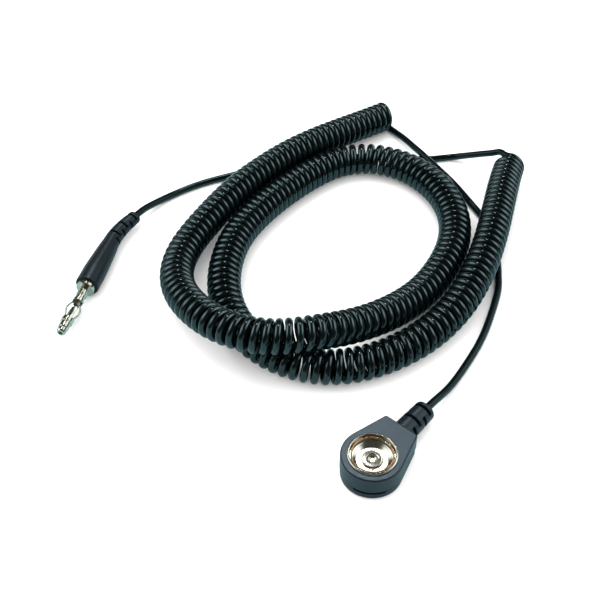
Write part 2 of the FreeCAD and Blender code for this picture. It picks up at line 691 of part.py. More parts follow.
def outline(radius, shoulder_x, shoulder_y, z):
    """Plan of the connector: a disc with flats running to rounded shoulders."""
    def mirrored(point):
        return Vector(point.x, -point.y, point.z)

    angle = (math.atan2(shoulder_y, shoulder_x)
             + math.acos(radius / math.hypot(shoulder_x, shoulder_y)))
    touch = Vector(radius * math.cos(angle), radius * math.sin(angle), z)
    shoulder = Vector(shoulder_x, shoulder_y, z)
    flat_end = shoulder - unit(shoulder - touch) * CORNER
    face_end = Vector(shoulder_x, shoulder_y - CORNER, z)
    middle = shoulder - Vector(CORNER_MID[0], CORNER_MID[1], 0) * CORNER
    return Part.Wire([
        Part.Arc(mirrored(touch), Vector(-radius, 0, z), touch).toShape(),
        Part.makeLine(touch, flat_end),
        Part.Arc(flat_end, middle, face_end).toShape(),
        Part.makeLine(face_end, mirrored(face_end)),
        Part.Arc(mirrored(face_end), mirrored(middle), mirrored(flat_end)).toShape(),
        Part.makeLine(mirrored(flat_end), mirrored(touch))])


def prism(radius, shoulder_x, shoulder_y, z0, z1):
    face = Part.Face(outline(radius, shoulder_x, shoulder_y, z0))
    return face.extrude(Vector(0, 0, z1 - z0))


def box(x0, x1, half_width, z0, z1):
    return Part.makeBox(x1 - x0, 2 * half_width, z1 - z0, Vector(x0, -half_width, z0))


def cylinder(radius, z0, z1, x=0.0, y=0.0):
    return Part.makeCylinder(radius, z1 - z0, Vector(x, y, z0))


def rod(radius, x0, x1):
    """Cylinder along x at the height of the cable entry."""
    return Part.makeCylinder(radius, x1 - x0, Vector(x0, 0, SNAP_Z), Vector(1, 0, 0))


def edges_at(shape, z):
    return [edge for edge in shape.Edges
            if abs(edge.BoundBox.ZMin - z) < 1e-6 and abs(edge.BoundBox.ZMax - z) < 1e-6]


def boot_recess():
    return rod(SNAP_BOOT_RADII[1] + GAP, BOOT_X - 0.1, SHOULDER_X + 1.0)


def housing_top():
    top = prism(SNAP_R, SHOULDER_X, SHOULDER_Y, SEAM_Z, TOP_Z)
    edges = edges_at(top, TOP_Z)
    try:
        top = top.makeFillet(0.4, edges)
    except Exception:       # the fillet may fail on the small shoulder arcs
        top = top.makeChamfer(0.35, edges)
    top = top.cut(cylinder(SOCKET_R + GAP, SEAM_Z - 0.1, TOP_Z + 1))
    top = top.cut(box(4.0, 10.6, 2.2, SEAM_Z - 0.1, 6.6))
    return top.cut(boot_recess())


def housing_base():
    base = prism(SNAP_R - 0.12, SHOULDER_X - 0.1, SHOULDER_Y - 0.1, 0.0, SEAM_Z - 0.35)
    try:
        base = base.makeChamfer(0.7, edges_at(base, 0.0))
    except Exception:       # the chamfer is wider than the shoulder arcs; a failure leaves it off
        pass
    base = base.fuse(cylinder(SOCKET_R - 0.2, SEAM_Z - 0.4, SEAM_Z + 0.5))
    base = base.fuse(prism(SNAP_R - 1.0, SHOULDER_X - 1.4, SHOULDER_Y - 1.0,
                           SEAM_Z - 0.4, SEAM_Z - 0.01))
    base = base.cut(cylinder(3.0, 2.2, 5.0)).cut(box(1.5, 11.2, 1.9, 2.6, 5.0))
    base = base.cut(boot_recess()).removeSplitter()
    # groove along part of the rim, set by its heading in the layout
    groove = Part.makeCylinder(12.0, 0.75, Vector(0, 0, SEAM_Z - 1.0), UP, 62.0)
    groove.rotate(ORIGIN, UP, -128.0 - SNAP_AXIS_DEG)
    return base.cut(groove.cut(cylinder(7.75, 0, 5)))


def socket_cup():
    cup = turned([
        (1.3, 5.72), (4.4, 5.72), (5.2, 6.15), (6.1, 6.85), (SOCKET_R, 7.2),
        (SOCKET_R, TOP_Z + 0.03), (RIM_R, TOP_Z + 0.08),
        ((RIM_R - 0.1, TOP_Z + 0.48), (6.5, TOP_Z + 0.62)),
        ((6.26, TOP_Z + 0.56), (6.18, TOP_Z + 0.4)), (6.18, TOP_Z + 0.2),
        (6.4, TOP_Z + 0.15), (6.4, TOP_Z - 0.42), (5.72, TOP_Z - 0.42),
        ((5.56, TOP_Z - 0.48), (OPEN_R, TOP_Z - 0.6)), (OPEN_R, TOP_Z - 1.35),
        (5.15, TOP_Z - 1.55), (5.15, 6.75), (4.3, 6.1), (1.3, 6.1)])
    hole = heading(-90.0 - SNAP_AXIS_DEG) * 3.25
    return cup.cut(cylinder(0.3, 5.0, 7.0, hole.x, hole.y))


def eyelet():
    return turned([
        (0, 4.7), (0.9, 4.7), (1.9, 4.95), (1.9, 5.2), (1.25, 5.3), (1.25, 6.14),
        (2.75, 6.14), ((2.86, 6.42), (2.5, 6.68)), (1.85, 6.74),
        ((1.6, 6.66), (1.45, 6.45)), ((1.15, 6.05), (0.5, 5.88)), (0, 5.88)])


def solder_tag():
    """Washer with an arm along x that turns down at its end."""
    tag = cylinder(2.6, *TAG_Z).fuse(box(1.2, 6.5, 0.8, *TAG_Z))
    tag = tag.fuse(box(6.2, 6.5, 0.8, 3.55, TAG_Z[1]))
    return tag.cut(cylinder(1.3, 3.0, 6.0)).removeSplitter()


def spring_half(start_deg):
    circle = Part.Circle(Vector(SPRING_R, 0, TOP_Z - 0.14), Vector(0, 1, 0), SPRING_WIRE_R)
    return revolved_arc(Part.Face(Part.Wire([circle.toShape()])), start_deg, 166)


def resistor():
    body = turned([
        (0, 7.2), (0.7, 7.2), ((0.9, 7.3), (0.95, 7.55)), (0.95, 8.1), (0.82, 8.35),
        (0.82, 9.75), (0.95, 10.0), (0.95, 10.65), ((0.9, 10.9), (0.7, 11.0)), (0, 11.0)])
    return put(body, Vector(0, 0, SNAP_Z), Vector(1, 0, 0))


def build_snap():
    snap_save("housing_top", housing_top())
    snap_save("housing_base", housing_base())
    snap_save("socket_cup", socket_cup())
    snap_save("eyelet", eyelet())
    snap_save("solder_tag", solder_tag())
    snap_save("spring_half_left", spring_half(12.0))
    snap_save("spring_half_right", spring_half(182.0))
    snap_save("resistor_body", resistor())
    snap_save("resistor_leads", rod(0.3, 5.9, 7.2), rod(0.3, 11.0, 13.3))
    snap_save("crimp_ferrule", rod(0.88, 12.3, 15.2).cut(rod(CONDUCTOR_R, 12.0, 15.5)))
    snap_save("heat_shrink", rod(1.06, 12.0, SLEEVE_END_X).cut(rod(0.9, 11.9, 15.5)))

    centre, bend = placed(SNAP_CENTRE), placed(SNAP_BEND)
    front = Vector(centre.x, centre.y, SNAP_Z) + heading(SNAP_AXIS_DEG) * BOOT_X
    path = Spline([bend, (bend + front) * 0.5, front])
    save("snap_strain_relief",
         strain_relief(path, path.length, SNAP_BOOT_RADII, step=0.22, trim=(False, False),
                       stations=[1.3, 3.8, 6.2, 8.6], slot_width=1.05, core_r=1.75))
    jackets, conductor = lead_end(path, path.length - (SLEEVE_END_X - BOOT_X))
    straight_core = moved(rod(CONDUCTOR_R, 13.6, SLEEVE_END_X - PIECE_GAP), centre,
                          FreeCAD.Rotation(UP, SNAP_AXIS_DEG))
    save("snap_lead_end_jacket", *jackets)
    save("snap_lead_end_conductor", conductor, straight_core)


os.makedirs("parts", exist_ok=True)
build_coil()
build_leads()
build_plug()
build_snap()
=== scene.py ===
import json
import math
import random
import bpy
import bmesh
from mathutils import Vector, Matrix

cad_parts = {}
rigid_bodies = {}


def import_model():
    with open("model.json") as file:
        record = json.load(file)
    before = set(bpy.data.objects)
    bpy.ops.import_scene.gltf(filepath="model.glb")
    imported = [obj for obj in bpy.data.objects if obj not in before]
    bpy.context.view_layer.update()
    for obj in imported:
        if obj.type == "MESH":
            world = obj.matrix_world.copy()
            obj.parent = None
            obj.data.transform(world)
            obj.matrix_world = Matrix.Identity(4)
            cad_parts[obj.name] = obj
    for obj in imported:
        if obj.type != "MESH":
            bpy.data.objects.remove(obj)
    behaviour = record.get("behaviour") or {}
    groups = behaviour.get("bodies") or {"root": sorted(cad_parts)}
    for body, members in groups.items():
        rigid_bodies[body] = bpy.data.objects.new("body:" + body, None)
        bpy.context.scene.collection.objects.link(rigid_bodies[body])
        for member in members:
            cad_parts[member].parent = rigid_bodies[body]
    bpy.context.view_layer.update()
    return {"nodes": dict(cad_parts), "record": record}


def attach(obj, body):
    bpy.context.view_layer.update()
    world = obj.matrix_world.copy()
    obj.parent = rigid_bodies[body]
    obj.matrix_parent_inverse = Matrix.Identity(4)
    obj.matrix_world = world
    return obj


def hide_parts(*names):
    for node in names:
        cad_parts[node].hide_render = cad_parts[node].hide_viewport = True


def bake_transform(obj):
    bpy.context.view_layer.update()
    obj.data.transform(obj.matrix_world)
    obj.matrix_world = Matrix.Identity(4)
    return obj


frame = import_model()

# ---------------------------------------------------------------- driving dimensions
SHIFT = (-2.507, -10.378)     # moves the layout so its bounding box is centred on the origin
CABLE_D = 2.30               # jacket outside diameter
CONDUCTOR_D = 1.00           # tinsel conductor diameter
COIL_OD = 10.7               # outside diameter of the coil
COIL_R = (COIL_OD - CABLE_D) / 2.0
TURN_ROWS = 8                # surface rows per turn
SECTION_TURNS = 10           # turns in one solid
GAP = 0.05                   # running clearance
PIECE_GAP = 0.03             # gap between pieces of one flexible part
BALL_R = CABLE_D / 2.0       # ball end of a lead at a bend
CUP_R = BALL_R + GAP
FREE_END_S = 58.0            # coil length that travels with the free end
STRETCH_END_S = 112.0        # end of the zone that stretches
COIL_PHASE = math.radians(225.0)   # puts the first turn's start on the floor

PLUG_GRIP_FRONT_R = 3.72
PLUG_GRIP_REAR_R = 2.92
PLUG_GRIP_LEN = 18.9
PLUG_BOOT_R = 2.82
PLUG_BOOT_END_R = 2.2
PLUG_PIN_LEN = 20.6
PLUG_NECK_R = 1.45
PLUG_RING_R = 1.72           # rings behind the leaves
PLUG_FRONT_R = 1.93          # ring in front of the leaves, a sliding fit in a 4 mm socket
LEAF_BULGE_R = 2.42
LEAF_T = 0.25
LEAF_TRAVEL = 0.35

SNAP_R = 8.65                # round part of the connector
SNAP_TOP_Z = 8.5
SNAP_SEAM_Z = 3.3
SNAP_RIM_R = 6.9             # outside of the rolled metal rim
SNAP_CUP_R = 6.66
SNAP_OPEN_R = 5.5            # bore the press stud enters
SNAP_BOOT_R = 3.6
SNAP_BOOT_END_R = 3.1
SNAP_SHOULDER = (13.0, 5.35)  # shoulder corner, along and across the connector
SLOT_TOP_DEG = 65.0          # half angle of the slots above and below a strain relief
SLOT_SIDE_DEG = 50.0         # half angle of the slots on its flanks

# coil centreline from the free end to the far end, evenly spaced; z is for a coil of 10.5 mm outside diameter
ROUTE = [
    (32.1, 91.0, 5.25), (21.49, 83.34, 6.02), (12.73, 76.61, 7.15), (3.91, 69.95, 7.80), (-4.56, 62.84, 8.02),
    (-12.3, 54.94, 8.09), (-19.39, 46.44, 8.12), (-25.68, 37.33, 7.79), (-31.38, 27.86, 7.18), (-36.17, 17.9, 6.81),
    (-38.39, 7.12, 7.44), (-37.08, -3.66, 9.32), (-32.79, -13.49, 11.96), (-26.2, -22.3, 14.5), (-16.88, -28.8, 16.1),
    (-6.0, -30.7, 16.35), (4.69, -28.3, 15.5), (14.32, -23.2, 12.5), (23.32, -16.8, 9.6), (31.43, -9.3, 7.1),
    (38.52, -1.12, 5.58), (44.53, 8.16, 5.25), (49.01, 18.27, 5.25), (51.12, 29.11, 5.28), (50.04, 40.08, 5.39),
    (45.82, 50.28, 5.36), (38.75, 58.73, 5.26), (29.05, 63.9, 5.25), (18.08, 64.34, 5.25), (8.2, 59.56, 5.26),
    (-0.14, 52.28, 5.26), (-7.65, 44.15, 5.26), (-14.28, 35.29, 5.26), (-19.66, 25.63, 5.26), (-22.83, 15.04, 5.25),
    (-23.78, 4.03, 5.25), (-22.29, -6.92, 5.25), (-17.88, -17.03, 5.25), (-10.55, -25.27, 5.25), (-0.99, -30.76, 5.25),
    (9.89, -32.38, 5.25), (20.68, -30.09, 5.25), (30.56, -25.12, 5.25), (39.29, -18.35, 5.32), (46.69, -10.15, 5.85),
    (52.66, -0.87, 6.71), (57.39, 9.11, 7.47), (61.21, 19.49, 7.88), (64.46, 30.07, 7.87), (67.45, 40.73, 7.42),
    (70.51, 51.33, 6.51), (73.94, 61.8, 5.41)]

# distance between turns against distance along the centreline
PITCH = [
    (0, 2.46), (32, 2.50), (62, 2.55), (92, 2.57), (107, 2.67), (122, 2.93), (137, 2.93), (152, 2.93), (167, 2.93),
    (182, 2.93), (197, 2.93), (212, 2.67), (240, 2.64), (262, 2.68), (287, 2.74), (300, 2.88), (309, 3.07), (318, 2.87),
    (332, 2.52), (347, 2.50), (362, 2.57), (377, 2.62), (392, 2.63), (407, 2.80), (422, 2.90), (437, 2.90), (452, 2.90),
    (467, 2.90), (482, 2.82), (512, 2.72), (527, 2.59), (550, 2.50), (572, 2.43)]

# leads on the floor (layout coordinates); the first points of two of them come from the coil ends
PLUG_HINGE = (-27.0, 59.6, CABLE_D / 2.0)
SNAP_HINGE = (63.4, 9.0, CABLE_D / 2.0)
PLUG_BEND = (-55.3, 35.7, 3.8)
SNAP_BEND = (35.23, -46.96, 4.0)
PLUG_AXIS_DEG = 255.8        # heading of the pin
PLUG_FACE = (-66.85, 2.4, 3.8)
SNAP_CENTRE = (19.22, -65.64, 0.0)
SNAP_AXIS_DEG = 49.4         # heading from the socket to its strain relief


# ---------------------------------------------------------------- small vector helpers on tuples
def add(a, b):
    return (a[0] + b[0], a[1] + b[1], a[2] + b[2])


def sub(a, b):
    return (a[0] - b[0], a[1] - b[1], a[2] - b[2])


def mul(a, k):
    return (a[0] * k, a[1] * k, a[2] * k)


def dot(a, b):
    return a[0] * b[0] + a[1] * b[1] + a[2] * b[2]


def cross(a, b):
    return (a[1] * b[2] - a[2] * b[1], a[2] * b[0] - a[0] * b[2], a[0] * b[1] - a[1] * b[0])


def norm(a):
    return math.sqrt(dot(a, a))


def unit(a):
    n = norm(a)
    return (a[0] / n, a[1] / n, a[2] / n)


def lerp(table, x):
    if x <= table[0][0]:
        return table[0][1]
    for (x0, y0), (x1, y1) in zip(table, table[1:]):
        if x <= x1:
            return y0 + (y1 - y0) * (x - x0) / (x1 - x0)
    return table[-1][1]


class Spline:
    """Natural cubic spline through points, measured by arc length."""

    def __init__(self, pts):
        self.p = [tuple(float(c) for c in q) for q in pts]
        n = len(self.p)
        self.t = [0.0]
        for a, b in zip(self.p, self.p[1:]):
            self.t.append(self.t[-1] + norm(sub(b, a)))
        self.m = []
        for k in range(3):
            y = [q[k] for q in self.p]
            lo, di, up, rh = [0.0] * n, [1.0] * n, [0.0] * n, [0.0] * n
            for i in range(1, n - 1):
                h0, h1 = self.t[i] - self.t[i - 1], self.t[i + 1] - self.t[i]
                lo[i], di[i], up[i] = h0, 2 * (h0 + h1), h1
                rh[i] = 6 * ((y[i + 1] - y[i]) / h1 - (y[i] - y[i - 1]) / h0)
            for i in range(1, n):
                w = lo[i] / di[i - 1]
                di[i] -= w * up[i - 1]
                rh[i] -= w * rh[i - 1]
            m = [0.0] * n
            m[-1] = rh[-1] / di[-1]
            for i in range(n - 2, -1, -1):
                m[i] = (rh[i] - up[i] * m[i + 1]) / di[i]
            self.m.append(m)
        self.s, self.st = [0.0], [0.0]
        last = self.raw(0.0)
        steps = 40 * (n - 1)
        for j in range(1, steps + 1):
            tt = self.t[-1] * j / steps
            q = self.raw(tt)
            self.s.append(self.s[-1] + norm(sub(q, last)))
            self.st.append(tt)
            last = q
        self.length = self.s[-1]

    def raw(self, t):
        i = 0
        lo, hi = 0, len(self.t) - 2
        while lo < hi:
            mid = (lo + hi + 1) // 2
            if self.t[mid] <= t:
                lo = mid
            else:
                hi = mid - 1
        i = lo
        h = self.t[i + 1] - self.t[i]
        a, b = (self.t[i + 1] - t) / h, (t - self.t[i]) / h
        out = []
        for k in range(3):
            m = self.m[k]
            out.append(a * self.p[i][k] + b * self.p[i + 1][k]
                       + ((a ** 3 - a) * m[i] + (b ** 3 - b) * m[i + 1]) * h * h / 6.0)
        return tuple(out)

    def at(self, s):
        if s <= 0.0:
            d = unit(sub(self.raw(self.t[-1] * 1e-5), self.raw(0.0)))
            return add(self.raw(0.0), mul(d, s))
        if s >= self.length:
            d = unit(sub(self.raw(self.t[-1]), self.raw(self.t[-1] * (1 - 1e-5))))
            return add(self.raw(self.t[-1]), mul(d, s - self.length))
        lo, hi = 0, len(self.s) - 2
        while lo < hi:
            mid = (lo + hi + 1) // 2
            if self.s[mid] <= s:
                lo = mid
            else:
                hi = mid - 1
        w = (s - self.s[lo]) / (self.s[lo + 1] - self.s[lo])
        return self.raw(self.st[lo] + w * (self.st[lo + 1] - self.st[lo]))

    def tan(self, s):
        return unit(sub(self.at(s + 0.02), self.at(s - 0.02)))


def placed(p):
    return (p[0] + SHIFT[0], p[1] + SHIFT[1], p[2])


# ---------------------------------------------------------------- coil
CENTRE = Spline([placed((p[0], p[1], p[2] + (COIL_OD - 10.5) / 2.0 + 0.004)) for p in ROUTE])


def coil_rows():
    """Stations along the wire of the coil: (s, axis point, wire direction frame, phase)."""
    ds = 0.02
    rows = []
    step = 2 * math.pi / TURN_ROWS
    s, ph = 0.0, 0.0
    target = 0.0
    n = int(CENTRE.length / ds)
    T = CENTRE.tan(0.0)
    N = unit(sub((0, 0, 1), mul(T, dot((0, 0, 1), T))))
    ph_prev = 0.0
    for i in range(n + 1):
        s = i * ds
        if i % 10 == 0:
            T = CENTRE.tan(s)
            N = unit(sub(N, mul(T, dot(N, T))))
        while ph >= target:
            rows.append((s - (ph - target) / (2 * math.pi) * lerp(PITCH, s), target, T, N))
            target += step
        ph += 2 * math.pi * ds / lerp(PITCH, s)
    out = []
    for s, ph, T, N in rows:
        B = cross(T, N)
        a = COIL_PHASE - ph                      # turns wind the left-handed way
        rad = add(mul(N, math.cos(a)), mul(B, math.sin(a)))
        out.append([s, CENTRE.at(s), T, rad, cross(T, rad)])
    return out


COIL = coil_rows()
LAM_TURN = (4 + 2 * math.cos(2 * math.pi / TURN_ROWS)) / 6.0
RING = 8
LAM_RING = (4 + 2 * math.cos(2 * math.pi / RING)) / 6.0


def wire_point(i):
    s, c, T, rad, tg = COIL[i]
    return add(c, mul(rad, COIL_R))


def wire_dir(i):
    s, c, T, rad, tg = COIL[i]
    p = lerp(PITCH, s)
    return unit(sub(mul(T, p / (2 * math.pi)), mul(tg, COIL_R)))


def coil_ring(i, r):
    """Control ring of the wire surface at station i."""
    s, c, T, rad, tg = COIL[i]
    w = wire_dir(i)
    n2 = unit(cross(w, rad))
    ax, tt = dot(n2, T), dot(n2, tg)
    ring = []
    for j in range(RING):
        th = 2 * math.pi * j / RING
        rc, rs = r / LAM_RING * math.cos(th), r / LAM_RING * math.sin(th)
        p = add(c, mul(rad, (COIL_R + rc) / LAM_TURN))
        p = add(p, mul(T, rs * ax))
        p = add(p, mul(tg, rs * tt / LAM_TURN))
        ring.append(p)
    return ring


def path_frames(path, s0, s1, step):
    n = max(3, int(math.ceil((s1 - s0) / step)))
    h = (s1 - s0) / n
    T = path.tan(s0 - h)
    N = unit(sub((0, 0, 1), mul(T, dot((0, 0, 1), T))))
    out = []
    for i in range(-1, n + 2):
        s = s0 + i * h
        T = path.tan(s)
        N = unit(sub(N, mul(T, dot(N, T))))
        out.append((s, path.at(s), T, N, cross(T, N)))
    for ends, keep in (((0, 1, 2), 1), ((-1, -2, -3), -2)):      # end rings share one plane
        f = out[keep]
        for i in ends:
            out[i] = (out[i][0], out[i][1], f[2], f[3], f[4])
    return out


def path_ring(fr, ra, rb):
    s, c, T, N, B = fr
    ring = []
    for j in range(RING):
        th = 2 * math.pi * j / RING
        ring.append(add(add(c, mul(B, ra / LAM_RING * math.cos(th))), mul(N, rb / LAM_RING * math.sin(th))))
    return ring


# lead centre-lines, in layout coordinates; z is the cable axis height
E1_TAIL = [(34.6, 87.0, 1.3), (36.2, 84.2, 1.8), (38.3, 80.3, 2.5), (40.9, 75.1, 3.2), (43.8, 69.6, 3.75), (46.6, 64.6, 3.85),
           (50.2, 58.5, 3.8), (53.6, 53.2, 3.25), (56.3, 49.2, 2.2), (58.5, 45.7, 1.35)]
SNAP_FIXED = [(58.5, 45.7, 1.35), (60.3, 42.0, 1.07), (61.9, 38.0, 1.06), (63.4, 31.0, 1.06), (64.2, 22.0, 1.06),
              (63.9, 13.5, 1.06), (63.4, 9.0, 1.06)]
SNAP_FREE = [(63.4, 9.0, 1.06), (62.8, 4.6, 1.06), (60.9, -2.0, 1.06), (57.9, -10.3, 1.06), (53.9, -19.4, 1.06),
             (49.2, -27.6, 1.06), (44.9, -34.4, 1.45), (40.9, -40.1, 2.7), (37.9, -43.8, 3.7), (35.23, -46.96, 4.0)]
PLUG_FREE = [(-27.0, 59.6, 1.06), (-30.6, 58.1, 1.06), (-34.6, 56.2, 1.06), (-40.9, 52.4, 1.06), (-46.2, 48.3, 1.35),
             (-50.3, 43.8, 2.25), (-53.2, 39.5, 3.3), (-55.3, 35.7, 3.8)]
E2_TAIL = [(70.4, 63.76, 9.2), (68.2, 64.65, 8.2), (65.6, 65.86, 6.9), (62.8, 67.41, 5.3), (59.9, 69.07, 3.6), (57.0, 70.47, 2.1),
           (53.8, 71.02, 1.25), (48.6, 70.28, 1.16), (43.6, 69.9, 1.06), (38.0, 70.0, 1.06), (30.0, 71.0, 1.06), (22.0, 71.4, 1.06), (14.0, 69.9, 1.06), (6.0, 67.6, 1.06),
           (-2.0, 65.6, 1.06), (-10.0, 64.4, 1.06), (-18.0, 62.9, 1.06), (-23.0, 61.2, 1.06), (-27.0, 59.6, 1.06)]


def route(pts):
    return [placed((p[0], p[1], max(p[2], CABLE_D / 2.0 + 0.01))) for p in pts]


I_FIRST = 1
I_LAST = (len(COIL) - 4) // 8 * 8 + 5
while I_LAST > len(COIL) - 2:
    I_LAST -= 8
E1_POINT, E1_DIR = wire_point(I_FIRST), mul(wire_dir(I_FIRST), -1.0)
E2_POINT, E2_DIR = wire_point(I_LAST), wire_dir(I_LAST)
PATHS = {
    "snap_lead_rear": Spline([E1_POINT, add(E1_POINT, mul(E1_DIR, 1.2))] + route(E1_TAIL)),
    "snap_lead_fixed": Spline(route(SNAP_FIXED)),
    "snap_lead_free": Spline(route(SNAP_FREE)),
    "plug_lead_fixed": Spline([E2_POINT, add(E2_POINT, mul(E2_DIR, 1.2))] + route(E2_TAIL)),
    "plug_lead_free": Spline(route(PLUG_FREE)),
}


# ================================================================ looks
MM = 0.001
rng = random.Random(7)
BODY_OF = {}


def mesh_object(name, verts, faces, mat, smooth=True):
    me = bpy.data.meshes.new(name)
    me.from_pydata([(v[0] * MM, v[1] * MM, v[2] * MM) for v in verts], [], faces)
    me.validate()
    me.update()
    ob = bpy.data.objects.new(name, me)
    bpy.context.scene.collection.objects.link(ob)
    if mat is not None:
        me.materials.append(mat)
    if smooth:
        for p in me.polygons:
            p.use_smooth = True
    return ob


def ring_mesh(rings, cap0=True, cap1=True):
    n = len(rings[0])
    verts = [p for r in rings for p in r]
    faces = []
    for i in range(len(rings) - 1):
        a, b = i * n, (i + 1) * n
        for j in range(n):
            k = (j + 1) % n
            faces.append((a + j, a + k, b + k, b + j))
    if cap0:
        faces.append(tuple(range(n - 1, -1, -1)))
    if cap1:
        a = (len(rings) - 1) * n
        faces.append(tuple(range(a, a + n)))
    return verts, faces


def circle_ring(c, a, b, ra, rb=None, n=16):
    rb = ra if rb is None else rb
    return [add(c, add(mul(a, ra * math.cos(2 * math.pi * j / n)), mul(b, rb * math.sin(2 * math.pi * j / n)))) for j in range(n)]


# ---------------------------------------------------------------- materials
def new_mat(name):
    m = bpy.data.materials.new(name)
    m.use_nodes = True
    nt = m.node_tree
    for nd in list(nt.nodes):
        nt.nodes.remove(nd)
    out = nt.nodes.new("ShaderNodeOutputMaterial")
    bs = nt.nodes.new("ShaderNodeBsdfPrincipled")
    nt.links.new(bs.outputs[0], out.inputs[0])
    return m, nt, bs


def plastic(name, dark, light, rough, rough_var, scale, bump, spec=0.5, coat=0.0, fine=0.0, tint=(1.0, 1.0, 1.0)):
    m, nt, bs = new_mat(name)
    tc = nt.nodes.new("ShaderNodeTexCoord")
    n1 = nt.nodes.new("ShaderNodeTexNoise")
    n1.inputs["Scale"].default_value = scale
    n1.inputs["Detail"].default_value = 6
    nt.links.new(tc.outputs["Object"], n1.inputs["Vector"])
    cr = nt.nodes.new("ShaderNodeValToRGB")
    cr.color_ramp.elements[0].position = 0.35
    cr.color_ramp.elements[1].position = 0.7
    cr.color_ramp.elements[0].color = dark + (1,)
    cr.color_ramp.elements[1].color = light + (1,)
    nt.links.new(n1.outputs["Fac"], cr.inputs["Fac"])
    nt.links.new(cr.outputs["Color"], bs.inputs["Base Color"])
    mr = nt.nodes.new("ShaderNodeMapRange")
    mr.inputs["To Min"].default_value = rough - rough_var
    mr.inputs["To Max"].default_value = rough + rough_var
    n2 = nt.nodes.new("ShaderNodeTexNoise")
    n2.inputs["Scale"].default_value = scale * 3.1
    n2.inputs["Detail"].default_value = 5
    nt.links.new(tc.outputs["Object"], n2.inputs["Vector"])
    nt.links.new(n2.outputs["Fac"], mr.inputs["Value"])
    nt.links.new(mr.outputs["Result"], bs.inputs["Roughness"])
    n3 = nt.nodes.new("ShaderNodeTexNoise")
    n3.inputs["Scale"].default_value = fine if fine else scale * 12
    n3.inputs["Detail"].default_value = 3
    nt.links.new(tc.outputs["Object"], n3.inputs["Vector"])
    bp = nt.nodes.new("ShaderNodeBump")
    bp.inputs["Strength"].default_value = 1.0
    bp.inputs["Distance"].default_value = bump
    nt.links.new(n3.outputs["Fac"], bp.inputs["Height"])
    nt.links.new(bp.outputs["Normal"], bs.inputs["Normal"])
    bs.inputs["Specular IOR Level"].default_value = spec
    bs.inputs["Specular Tint"].default_value = tint + (1,)
    bs.inputs["Coat Weight"].default_value = coat
    bs.inputs["Coat Roughness"].default_value = 0.06
    return m


def metal(name, dark, light, rough, rough_var, scale, bump, stretch=(1, 1, 1)):
    m, nt, bs = new_mat(name)
    tc = nt.nodes.new("ShaderNodeTexCoord")
    mp = nt.nodes.new("ShaderNodeMapping")
    mp.inputs["Scale"].default_value = stretch
    nt.links.new(tc.outputs["Object"], mp.inputs["Vector"])
    n1 = nt.nodes.new("ShaderNodeTexNoise")
    n1.inputs["Scale"].default_value = scale
    n1.inputs["Detail"].default_value = 8
    nt.links.new(mp.outputs["Vector"], n1.inputs["Vector"])
    cr = nt.nodes.new("ShaderNodeValToRGB")
    cr.color_ramp.elements[0].position = 0.3
    cr.color_ramp.elements[1].position = 0.72
    cr.color_ramp.elements[0].color = dark + (1,)
    cr.color_ramp.elements[1].color = light + (1,)
    nt.links.new(n1.outputs["Fac"], cr.inputs["Fac"])
    nt.links.new(cr.outputs["Color"], bs.inputs["Base Color"])
    bs.inputs["Metallic"].default_value = 1.0
    mr = nt.nodes.new("ShaderNodeMapRange")
    mr.inputs["To Min"].default_value = rough - rough_var
    mr.inputs["To Max"].default_value = rough + rough_var
    nt.links.new(n1.outputs["Fac"], mr.inputs["Value"])
    nt.links.new(mr.outputs["Result"], bs.inputs["Roughness"])
    bp = nt.nodes.new("ShaderNodeBump")
    bp.inputs["Distance"].default_value = bump
    nt.links.new(n1.outputs["Fac"], bp.inputs["Height"])
    nt.links.new(bp.outputs["Normal"], bs.inputs["Normal"])
    return m


TEAL = (0.66, 0.95, 1.0)
NAVY = (0.66, 0.86, 1.0)
MAT = {
    "cable_jacket": plastic("cable_jacket", (0.0005, 0.0012, 0.0014), (0.0012, 0.0025, 0.0028), 0.15, 0.035, 160, 0.000004, spec=0.55, tint=TEAL),
    "tinsel_copper": metal("tinsel_copper", (0.55, 0.28, 0.15), (0.8, 0.45, 0.26), 0.35, 0.1, 900, 0.00003),
    "plug_moulding": plastic("plug_moulding", (0.0008, 0.0014, 0.0022), (0.0018, 0.0030, 0.0045), 0.40, 0.06, 260, 0.00002, spec=0.34, fine=5200, tint=NAVY),
    "snap_moulding": plastic("snap_moulding", (0.0014, 0.0028, 0.0046), (0.0030, 0.0052, 0.0080), 0.38, 0.06, 260, 0.00002, spec=0.42, fine=5200, tint=NAVY),
    "nickel_plate": metal("nickel_plate", (0.42, 0.41, 0.33), (0.66, 0.64, 0.56), 0.14, 0.04, 300, 0.000002),
    "tinned_metal": metal("tinned_metal", (0.5, 0.5, 0.5), (0.7, 0.7, 0.7), 0.35, 0.1, 700, 0.00001),
    "phosphor_bronze": metal("phosphor_bronze", (0.30, 0.15, 0.07), (0.48, 0.27, 0.15), 0.28, 0.08, 700, 0.00001),
    "resistor_coating": plastic("resistor_coating", (0.55, 0.42, 0.26), (0.68, 0.55, 0.36), 0.35, 0.1, 500, 0.00001),
    "heat_shrink": plastic("heat_shrink", (0.012, 0.012, 0.012), (0.022, 0.022, 0.022), 0.5, 0.08, 500, 0.00002),
}
for entry in frame["record"]["subparts"]:
    ob = frame["nodes"][entry["node"]]
    ob.data.materials.clear()
    ob.data.materials.append(MAT[entry["material_slot"]])

# ---------------------------------------------------------------- coil skins
STEPS, RV = 36, 20
CORE_R = 0.5                 # tinsel conductor inside the jacket


